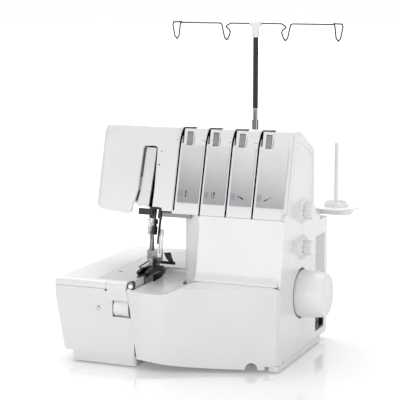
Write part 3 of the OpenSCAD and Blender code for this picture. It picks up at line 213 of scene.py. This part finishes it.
nodesOfFinish = {
    "whiteAbs": ["rear_housing", "head_front_cover", "face_cover", "column_panel", "looper_cover",
                 "side_cover", "bed_cover", "cloth_plate", "spool_tray", "take_up_lever"],
    "paleAbs": ["base_pan"],
    "whiteAcetal": ["hand_wheel", "spool_pins", "spool_discs", "thread_guide_hub", "stitch_length_knob",
                    "differential_feed_knob", "knob_scales", "cutting_width_dial"],
    "greyAbs": ["tension_dial_1", "tension_dial_2", "tension_dial_3", "tension_dial_4", "presser_lifter",
                "work_light"],
    "blackNylon": ["power_inlet", "power_switch", "cloth_plate_latch"],
    "mattBlackAndPaintedShade": ["thread_groove_liners"],
    "bluedWire": ["thread_guide_wire"],
    "blackEnamel": ["pole_upper_tube"],
    "nickelPaintedShade": ["presser_foot", "needle_clamp"],
    "knifeHolder": ["upper_knife"],
    "silverLacquerPaintedReflection": ["silver_trim_plates"],
    "satinSteel": ["needle_plate"],
    "polishedSteel": ["needle_guard", "cover_hinge_rod", "needle_plate_screws", "tension_dial_shaft",
                      "tension_discs", "needle_bar", "needles", "presser_bar", "upper_looper",
                      "lower_looper", "lower_knife", "feed_dog", "main_shaft", "motor_pulley"],
    "chromePlate": ["pole_lower_tube", "pole_middle_tube"],
    "blackOxide": ["head_thread_guide"],
    "castAluminium": ["frame_casting", "motor"],
    "sinteredBronze": ["shaft_bushes"],
    "mouldedRubber": ["rubber_feet", "drive_belt"],
    "lampAcrylic": ["indicator_lamps"],
}
for finish, names in nodesOfFinish.items():
    for name in names:
        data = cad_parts[name].data
        data.materials.clear()
        data.materials.append(materials[finish])
        data.polygons.foreach_set("material_index", np.zeros(len(data.polygons), np.int32))
print("finishes set:", len(materials))


# points in machine millimetres and their faces become a mesh that rides on the machine's fixed body
def makePiece(name, points, faces, finish, smooth=False):
    mesh = bpy.data.meshes.new(name)
    mesh.from_pydata(toFrame(points), [], faces if isinstance(faces, list) else faces.tolist())
    mesh.polygons.foreach_set("use_smooth", np.full(len(faces), smooth))
    mesh.materials.append(materials[finish])
    piece = bpy.data.objects.new(name, mesh)
    bpy.context.scene.collection.objects.link(piece)
    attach(piece, "machine")


# (across, up the slant, out of the front) to machine axes: a turn by the head's lean about its foot
def onHead(local):
    cosLean = math.cos(headLean)
    sinLean = math.sin(headLean)
    return np.stack([local[:, 0], machine["headFootY"] - local[:, 2] * cosLean + local[:, 1] * sinLean,
                     machine["headFootZ"] + local[:, 2] * sinLean + local[:, 1] * cosLean], -1)


# (depth, height, out of the right face) to machine axes
def onRightSide(local):
    return np.stack([local[:, 2], local[:, 0], local[:, 1]], -1)


# (across, height, out of an upright front at that depth) to machine axes
def onFront(local, front):
    return np.stack([local[:, 0], front - local[:, 2], local[:, 1]], -1)


# y of the leaning front at a height: foot + (z - foot height) tan(lean)
def slantY(height):
    return machine["headFootY"] + (height - machine["headFootZ"]) * math.tan(headLean)


# bars (a0, b0, a1, b1, width) along a line of points, one for each of its steps
def barsAlong(line, width):
    return np.hstack([line[:-1], line[1:], np.full((len(line) - 1, 1), width)])


# bars repeated at each of several places across
def barsAt(bars, across):
    shift = np.multiply.outer(np.atleast_1d(across), [1.0, 0.0, 1.0, 0.0, 0.0])
    return (np.atleast_2d(bars)[None] + shift[:, None]).reshape(-1, 5)


# closed prisms of bars: corners are the ends plus and minus half the width along the normal, at two depths
def barPrisms(bars, low, high):
    bars = np.asarray(bars, float)
    start = bars[:, 0:2]
    end = bars[:, 2:4]
    along = (end - start) / np.linalg.norm(end - start, axis=1, keepdims=True)
    side = np.stack([-along[:, 1], along[:, 0]], 1) * bars[:, 4:5] / 2
    ring = np.stack([start - side, end - side, end + side, start + side], 1)
    depth = np.zeros((len(bars), 4, 1))
    lower = np.concatenate([ring, depth + low], -1)
    upper = np.concatenate([ring, depth + high], -1)
    corners = np.concatenate([lower, upper], 1)
    prism = np.array([[3, 2, 1, 0], [4, 5, 6, 7], [0, 1, 5, 4], [1, 2, 6, 5], [2, 3, 7, 6], [3, 0, 4, 7]])
    faces = (np.arange(len(bars))[:, None, None] * 8 + prism).reshape(-1, 4)
    return corners.reshape(-1, 3), faces


# flattened balls: a = r sin t cos f, b = r sin t sin f, out = base + h cos t, with one point at each pole
def lensDots(centres, radius, height, base, around, rings):
    polar = np.linspace(0, math.pi, rings + 1)[1:-1]
    turn = np.linspace(0, 2 * math.pi, around, endpoint=False)
    polarGrid, turnGrid = np.meshgrid(polar, turn, indexing="ij")
    belt = np.stack([radius * np.sin(polarGrid) * np.cos(turnGrid),
                     radius * np.sin(polarGrid) * np.sin(turnGrid), height * np.cos(polarGrid)], -1)
    unit = np.vstack([[[0, 0, height]], belt.reshape(-1, 3), [[0, 0, -height]]])
    index = 1 + np.arange((rings - 1) * around).reshape(rings - 1, around)
    index = np.hstack([index, index[:, :1]])
    quads = np.stack([index[:-1, :-1], index[1:, :-1], index[1:, 1:], index[:-1, 1:]], -1).reshape(-1, 4)
    top = np.stack([np.zeros(around, int), index[0, :-1], index[0, 1:]], -1)
    foot = np.stack([np.full(around, len(unit) - 1), index[-1, 1:], index[-1, :-1]], -1)
    centres = np.asarray(centres, float)
    middles = np.concatenate([centres, np.full((len(centres), 1), base)], 1)
    points = (middles[:, None, :] + unit[None]).reshape(-1, 3)
    shift = np.arange(len(centres))[:, None, None] * len(unit)
    caps = (shift + np.concatenate([top, foot])).reshape(-1, 3)
    return points, (shift + quads).reshape(-1, 4).tolist() + caps.tolist()


# the four thread grooves from the right one to the left, and the middles of the dials beside them
grooves = dict(first=-43.5, pitch=-35.3, count=4, dialAside=12.5)
grooveX = grooves["first"] + grooves["pitch"] * np.arange(grooves["count"])
dialX = grooveX + grooves["dialAside"]

# short orange ticks on both sides of each thread groove; the right ones lie in the dials' shallow recess
grooveTicks = dict(left=(-5.6, 94.2, -1.7, 94.1, 0.8), right=(1.9, 93.9, 5.2, 93.8, 0.8), recess=0.5,
                   root=0.1, proud=0.06)
leftPoints, leftFaces = barPrisms(barsAt(grooveTicks["left"], grooveX), -grooveTicks["root"],
                                  grooveTicks["proud"])
rightPoints, rightFaces = barPrisms(barsAt(grooveTicks["right"], grooveX),
                                    -grooveTicks["recess"] - grooveTicks["root"],
                                    -grooveTicks["recess"] + grooveTicks["proud"])
makePiece("groove_ticks", onHead(np.vstack([leftPoints, rightPoints])),
          np.vstack([leftFaces, rightFaces + len(leftPoints)]), "orangeInk")

# black strips of painted shade on both walls of each thread groove: a straight run, then a bend (1-t)^2 a +
# 2t(1-t) b + t^2 c
grooveShadeLips = dict(half=0.95, wall=0.3, feet=(-1.0, -1.0, -1.0, 4.0), deep=-2.9, flush=-0.03, steps=6,
                  bend=((0.0, 90.0), (0.0, 98.0), (3.2, 110.0)))
part = np.linspace(0, 1, grooveShadeLips["steps"] + 1)[:, None]
bendFrom, bendOver, bendTo = np.array(grooveShadeLips["bend"])
bendLine = (1 - part) ** 2 * bendFrom + 2 * part * (1 - part) * bendOver + part ** 2 * bendTo
grooveShadeBars = [barsAlong(np.vstack([[0.0, foot], bendLine]) + [x + side, 0.0], grooveShadeLips["wall"])
           for x, foot in zip(grooveX, grooveShadeLips["feet"])
           for side in (-grooveShadeLips["half"], grooveShadeLips["half"])]
points, faces = barPrisms(np.vstack(grooveShadeBars), grooveShadeLips["deep"], grooveShadeLips["flush"])
makePiece("groove_lips_painted_shade", onHead(points), faces, "mattBlackAndPaintedShade")

# painted shade along the right border of each dial's recess: a grey line that runs out to the right as it
# rises, x = near + spread t^2
recessBorderShade = dict(foot=88.5, top=106.5, steps=8, near=5.6, spread=2.2, width=0.8, recess=0.5, root=0.2,
                    proud=0.12)
part = np.linspace(0, 1, recessBorderShade["steps"] + 1)
borderShadeLine = np.stack([recessBorderShade["near"] + recessBorderShade["spread"] * part ** 2,
                       recessBorderShade["foot"] + (recessBorderShade["top"] - recessBorderShade["foot"]) * part], -1)
points, faces = barPrisms(barsAt(barsAlong(borderShadeLine, recessBorderShade["width"]), dialX),
                          -recessBorderShade["recess"] - recessBorderShade["root"],
                          -recessBorderShade["recess"] + recessBorderShade["proud"])
makePiece("recess_border_painted_shade", onHead(points), faces, "greyInkAndPaintedShade")

# painted shade: a dark line along the top edge of each recess, from the groove to the border
recessEdgeShade = dict(fromGroove=3.4, toGroove=19.4, back=1.25, width=1.5, root=1.6, proud=0.12)
shadeEdgeY = slantY(machine["headTop"]) + recessEdgeShade["back"]
shadeEdgeBar = (recessEdgeShade["fromGroove"], shadeEdgeY, recessEdgeShade["toGroove"], shadeEdgeY, recessEdgeShade["width"])
points, faces = barPrisms(barsAt(shadeEdgeBar, grooveX), machine["headTop"] - recessEdgeShade["root"],
                          machine["headTop"] + recessEdgeShade["proud"])
makePiece("recess_top_edge_painted_shade", points, faces, "blackInkAndPaintedShade")

# thread-path signs near the foot of each trim: a cone of thread, then what that thread goes to in black
# bars and in coloured ones; from the right trim, which is number 4, to the left one
threadSigns = dict(foot=22.4, top=29.6, threads=4, pitch=1.45, threadWidth=0.6, hoops=4, hoopOver=0.5,
                   hoopWidth=0.3, inset=5.6, front=1.2, root=0.1, proud=0.07)
signKinds = [
    dict(cone="greyInkAndPaintedShade", tool=[(8.4, 22.6, 12.8, 25.2, 1.5)],
         line=[(12.8, 25.2, 17.6, 28.0, 0.9)], lineInk="redInk"),
    dict(cone="blueInk", tool=[(8.6, 26.6, 12.2, 25.4, 1.1), (12.0, 25.6, 16.4, 23.3, 1.9)],
         line=[(8.2, 24.0, 9.0, 29.6, 0.6)], lineInk="blueInk"),
    dict(cone="greenInk", tool=[(9.2, 22.2, 9.2, 29.8, 0.5), (12.4, 26.4, 12.4, 29.9, 2.0),
                                (12.4, 22.2, 12.4, 26.4, 0.9)],
         line=[(9.9, 22.2, 9.9, 29.8, 0.5)], lineInk="greenInk"),
    dict(cone="ochreInk", tool=[(9.4, 26.6, 9.4, 30.0, 1.9), (9.4, 22.2, 9.4, 25.6, 1.5)],
         line=[(12.6, 22.4, 12.6, 29.6, 0.5)], lineInk="ochreInk"),
]
threadX = threadSigns["pitch"] * np.arange(threadSigns["threads"])
coneThreads = barsAt((0.0, threadSigns["foot"], 0.0, threadSigns["top"], threadSigns["threadWidth"]),
                     threadX)
coneHoops = [(-threadSigns["hoopOver"], height, threadX[-1] + threadSigns["hoopOver"], height,
              threadSigns["hoopWidth"])
             for height in np.linspace(threadSigns["foot"], threadSigns["top"], threadSigns["hoops"])]
coneBars = np.vstack([coneThreads, coneHoops])
for number, x, kind in zip((4, 3, 2, 1), grooveX, signKinds):
    for what, bars, ink in (("cone", coneBars, kind["cone"]), ("tool", kind["tool"], "blackInkAndPaintedShade"),
                            ("line", kind["line"], kind["lineInk"])):
        points, faces = barPrisms(barsAt(bars, x + threadSigns["inset"]),
                                  threadSigns["front"] - threadSigns["root"],
                                  threadSigns["front"] + threadSigns["proud"])
        makePiece(f"thread_sign_{number}_{what}", onHead(points), faces, ink)

# dots round the scale discs of the two knobs
knobDots = dict(depth=88.0, heights=(189.0, 143.0), reach=12.2, out=4.8, dot=1.05, thick=0.1, count=8,
                start=62.0, sweep=236.0, around=16, rings=6)
dotAngles = np.radians(knobDots["start"] + np.linspace(0, knobDots["sweep"], knobDots["count"]))
dotRing = np.stack([np.cos(dotAngles), np.sin(dotAngles)], -1) * knobDots["reach"]
dotCentres = np.vstack([dotRing + [knobDots["depth"], height] for height in knobDots["heights"]])
points, faces = lensDots(dotCentres, knobDots["dot"], knobDots["thick"], knobDots["out"], knobDots["around"],
                         knobDots["rings"])
makePiece("knob_scale_dots", onRightSide(points), faces, "blackInkAndPaintedShade", smooth=True)

# faint upright louvre lines on the rear part of the right side, a darker white as painted shade
louvre = dict(depthFrom=147.0, depthTo=186.0, pitch=3.3, foot=92.0, top=147.0, width=0.9, root=0.2,
              proud=0.3)
louvreDepths = np.arange(louvre["depthFrom"], louvre["depthTo"], louvre["pitch"])
points, faces = barPrisms(barsAt((0.0, louvre["foot"], 0.0, louvre["top"], louvre["width"]), louvreDepths),
                          -louvre["root"], louvre["proud"])
makePiece("side_louvre_painted_shade", onRightSide(points), faces, "paintedShadeAbs")

# painted shade in the hand wheel's well: dark crescents from a flat ring of width slim + wide |sin f|^power,
# so that it is widest above and below
wheelWellShade = dict(depth=87.0, height=84.0, inner=30.1, slim=0.35, wide=2.4, power=10, low=-0.3, high=0.1,
                 around=120)
turn = np.linspace(0, 2 * math.pi, wheelWellShade["around"], endpoint=False)
swell = wheelWellShade["wide"] * np.abs(np.sin(turn)) ** wheelWellShade["power"]
outer = wheelWellShade["inner"] + wheelWellShade["slim"] + swell
loops = [(wheelWellShade["inner"], wheelWellShade["low"]), (outer, wheelWellShade["low"]), (outer, wheelWellShade["high"]),
         (wheelWellShade["inner"], wheelWellShade["high"])]
points = np.concatenate([np.stack([wheelWellShade["depth"] + radius * np.cos(turn),
                                   wheelWellShade["height"] + radius * np.sin(turn), np.full_like(turn, out)], -1)
                         for radius, out in loops])
index = np.arange(4 * wheelWellShade["around"]).reshape(4, -1)
index = np.vstack([index, index[:1]])
index = np.hstack([index, index[:, :1]])
faces = np.stack([index[:-1, :-1], index[:-1, 1:], index[1:, 1:], index[1:, :-1]], -1).reshape(-1, 4)
makePiece("wheel_well_painted_shade", onRightSide(points), faces, "blackInkAndPaintedShade")

# rail that squares the head's lower right edge, so that head and column meet in one flat side: the profile
# between the edge's quarter circle and its corner, carried back from the leaning front
sideRail = dict(radius=8.0, back=134.0, steps=10, sink=0.05, lift=0.1)
bow = np.linspace(0, math.pi / 2, sideRail["steps"] + 1)
arc = np.stack([(sideRail["radius"] - sideRail["sink"]) * np.cos(bow) - sideRail["radius"],
                machine["headFootZ"] + sideRail["radius"] * (1 - np.sin(bow)) + sideRail["sink"]], -1)
profile = np.vstack([[0.0, machine["headFootZ"] + sideRail["lift"]], arc])
count = len(profile)
near = np.stack([profile[:, 0], slantY(profile[:, 1]) + sideRail["sink"], profile[:, 1]], -1)
far = np.stack([profile[:, 0], np.full(count, sideRail["back"]), profile[:, 1]], -1)
index = np.arange(count)
following = (index + 1) % count
walls = np.stack([index + count, following + count, following, index], -1)
makePiece("head_side_rail", np.vstack([near, far]),
          walls.tolist() + [index.tolist(), (index + count)[::-1].tolist()], "whiteAbs")

# two columns of fine ticks in front of the knobs, where such a machine has small print: depth, foot and top
knobCaptions = dict(columns=((56.0, 181.5, 197.0), (56.4, 140.5, 160.0)), pitch=2.1, tick=1.1, root=0.1,
                    proud=0.05)
captionBars = [(depth, height, depth, height + knobCaptions["tick"], knobCaptions["tick"])
               for depth, foot, top in knobCaptions["columns"]
               for height in np.arange(foot, top, knobCaptions["pitch"])]
points, faces = barPrisms(captionBars, -knobCaptions["root"], knobCaptions["proud"])
makePiece("knob_captions", onRightSide(points), faces, "paleInk")

# small round sign on the left cover beside the cutting width dial: a circle with a stroke at its top
coverSign = dict(x=-223.0, z=72.6, radius=2.6, line=0.5, steps=20, stroke=(-0.2, 0.6, 1.2, 3.4, 1.4),
                 front=-43.0, root=0.1, proud=0.06)
turn = np.linspace(0, 2 * math.pi, coverSign["steps"] + 1)
signMiddle = np.array([coverSign["x"], coverSign["z"]])
circle = signMiddle + coverSign["radius"] * np.stack([np.cos(turn), np.sin(turn)], -1)
stroke = np.array(coverSign["stroke"]) + [*signMiddle, *signMiddle, 0.0]
points, faces = barPrisms(np.vstack([barsAlong(circle, coverSign["line"]), stroke]), -coverSign["root"],
                          coverSign["proud"])
makePiece("cover_sign", onFront(points, coverSign["front"]), faces, "greyInkAndPaintedShade")
print("marks and rail made")


# 1 on camera, glossy and transmission rays, 0 on the rays that light the object
def isSeen(tree):
    path = addNode(tree, "ShaderNodeLightPath")
    mirror = addNode(tree, "ShaderNodeMath", {"operation": "MAXIMUM"},
                     {0: path.outputs["Is Camera Ray"], 1: path.outputs["Is Glossy Ray"]})
    return addNode(tree, "ShaderNodeMath", {"operation": "MAXIMUM"},
                   {0: mirror.outputs[0], 1: path.outputs["Is Transmission Ray"]}).outputs[0]


# a mesh of the studio, which isn't part of the machine
def makeStage(name, points, faces, material):
    mesh = bpy.data.meshes.new(name)
    mesh.from_pydata(points, [], faces)
    mesh.materials.append(material)
    stage = bpy.data.objects.new(name, mesh)
    bpy.context.scene.collection.objects.link(stage)
    return stage


# lengths of the studio are in metres; the glow that only the camera and mirrors see grows from near to far
studioFloor = dict(reach=14.0, rings=40, around=64, colour="#E8E8E8", roughness=0.06, specular=0.4,
                   glowNear=0.2, glowFar=0.7, glowFrom=0.3, glowTo=1.2)


# glazed white paper: a soft faint reflection, and a shadow that stays under a white surround
def makePaper():
    material = bpy.data.materials.new("studioPaper")
    material.use_nodes = True
    tree = material.node_tree
    shader = tree.nodes["Principled BSDF"]
    shader.inputs["Roughness"].default_value = studioFloor["roughness"]
    shader.inputs["Specular IOR Level"].default_value = studioFloor["specular"]
    shader.inputs["Base Color"].default_value = toLinear(studioFloor["colour"])
    where = addNode(tree, "ShaderNodeTexCoord")
    reach = addNode(tree, "ShaderNodeVectorMath", {"operation": "LENGTH"}, {0: where.outputs["Object"]})
    glowAt = addNode(tree, "ShaderNodeMapRange",
                     {"interpolation_type": "SMOOTHSTEP", "From Min": studioFloor["glowFrom"],
                      "From Max": studioFloor["glowTo"], "To Min": studioFloor["glowNear"],
                      "To Max": studioFloor["glowFar"]}, {"Value": reach.outputs["Value"]})
    lift = addNode(tree, "ShaderNodeMath", {"operation": "MULTIPLY"},
                   {0: isSeen(tree), 1: glowAt.outputs["Result"]})
    glow = addNode(tree, "ShaderNodeEmission", {"Color": toLinear("#FFFFFF")}, {"Strength": lift.outputs[0]})
    both = addNode(tree, "ShaderNodeAddShader", {}, {0: shader.outputs[0], 1: glow.outputs[0]})
    tree.links.new(both.outputs[0], tree.nodes["Material Output"].inputs["Surface"])
    return material


# flat disc: rings whose radius is reach u^2, round one middle point
def makeFloor():
    share = np.linspace(0, 1, studioFloor["rings"] + 1)[1:]
    turn = np.linspace(0, 2 * math.pi, studioFloor["around"], endpoint=False)
    radius, angle = np.meshgrid(studioFloor["reach"] * share ** 2, turn, indexing="ij")
    rings = np.stack([radius * np.cos(angle), radius * np.sin(angle), np.zeros_like(radius)], -1)
    index = 1 + np.arange(radius.size).reshape(radius.shape)
    index = np.hstack([index, index[:, :1]])
    quads = np.stack([index[:-1, :-1], index[1:, :-1], index[1:, 1:], index[:-1, 1:]], -1).reshape(-1, 4)
    fan = np.stack([np.zeros(studioFloor["around"], int), index[0, :-1], index[0, 1:]], -1)
    makeStage("studioFloor", np.vstack([[[0, 0, 0]], rings.reshape(-1, 3)]), fan.tolist() + quads.tolist(),
              makePaper())


makeFloor()

# dark upright felt cards that only mirrors see, so that round metal gets its dark stripes
studioFlags = dict(places={"leftFlag": (-1.35, -0.55), "rightFlag": (1.35, 0.55)}, half=0.45, height=1.7,
                   lift=0.02, colour="#0C0C0D")


# card = place + facing u, from its lift upwards, where facing is square to the line from the machine
def makeFlag(name, place):
    facing = np.array([-place[1], place[0]]) / math.hypot(*place)
    across, up = np.meshgrid([-studioFlags["half"], studioFlags["half"]], [0.0, studioFlags["height"]],
                             indexing="ij")
    points = np.stack([place[0] + facing[0] * across, place[1] + facing[1] * across,
                       up + studioFlags["lift"]], -1).reshape(-1, 3)
    felt = bpy.data.materials.new(name + "Felt")
    felt.use_nodes = True
    shader = felt.node_tree.nodes["Principled BSDF"]
    shader.inputs["Base Color"].default_value = toLinear(studioFlags["colour"])
    shader.inputs["Specular IOR Level"].default_value = 0.0
    flag = makeStage(name, points, [[0, 2, 3, 1]], felt)
    flag.visible_camera = False
    flag.visible_diffuse = False
    flag.visible_shadow = False


for name, place in studioFlags["places"].items():
    makeFlag(name, place)
print("floor and flags made")

# place in machine millimetres, angles in degrees, lens and sensor in millimetres
studioCamera = dict(place=(551.4, -1572.6, 480.1), azimuth=22.6, elevation=9.0, lensMm=126.0, sensorMm=36.0,
                    farEnd=50.0)


def makeCamera():
    data = bpy.data.cameras.new("studioCamera")
    data.sensor_width = studioCamera["sensorMm"]
    data.lens = studioCamera["lensMm"]
    data.clip_end = studioCamera["farEnd"]
    camera = bpy.data.objects.new("studioCamera", data)
    camera.location = toFrame(studioCamera["place"])
    camera.rotation_euler = (math.radians(90.0 - studioCamera["elevation"]), 0.0,
                             math.radians(studioCamera["azimuth"]))
    bpy.context.scene.collection.objects.link(camera)
    bpy.context.scene.camera = camera


makeCamera()

# softboxes: place, aim and size in metres, power in watts
softboxes = {
    "keySoftbox": dict(place=(-0.6, -2.2, 0.45), aim=(0.0, 0.0, 0.15), size=(1.3, 1.1), power=13.0),
    "fillSoftbox": dict(place=(1.9, -0.5, 0.35), aim=(0.0, 0.0, 0.15), size=(1.0, 1.2), power=7.8),
    "topSoftbox": dict(place=(-0.45, 0.7, 2.0), aim=(-0.05, 0.0, 0.1), size=(1.6, 1.6), power=25.0),
}


# the lamp turns by the yaw and pitch of the line from its place to its aim
def addLamp(name, spec):
    data = bpy.data.lights.new(name, "AREA")
    data.shape = "RECTANGLE"
    data.size, data.size_y = spec["size"]
    data.energy = spec["power"]
    lamp = bpy.data.objects.new(name, data)
    lamp.location = spec["place"]
    line = np.subtract(spec["aim"], spec["place"])
    yaw = math.atan2(line[1], line[0])
    pitch = math.atan2(line[2], math.hypot(line[0], line[1]))
    lamp.rotation_euler = (math.pi / 2 + pitch, 0.0, yaw - math.pi / 2)
    bpy.context.scene.collection.objects.link(lamp)


for name, spec in softboxes.items():
    addLamp(name, spec)

# strength of the surround on the object, and where the camera or a mirror sees it
surround = dict(light=0.58, seen=1.0)


def makeWorld():
    world = bpy.data.worlds.new("studioWorld")
    bpy.context.scene.world = world
    world.use_nodes = True
    tree = world.node_tree
    tree.nodes.clear()
    white = toLinear("#FFFFFF")
    dim = addNode(tree, "ShaderNodeBackground", {"Color": white, "Strength": surround["light"]})
    bright = addNode(tree, "ShaderNodeBackground", {"Color": white, "Strength": surround["seen"]})
    mix = addNode(tree, "ShaderNodeMixShader", {},
                  {0: isSeen(tree), 1: dim.outputs[0], 2: bright.outputs[0]})
    addNode(tree, "ShaderNodeOutputWorld", {}, {"Surface": mix.outputs[0]})


makeWorld()
bpy.context.scene.view_settings.view_transform = "Standard"
print("camera and light set")
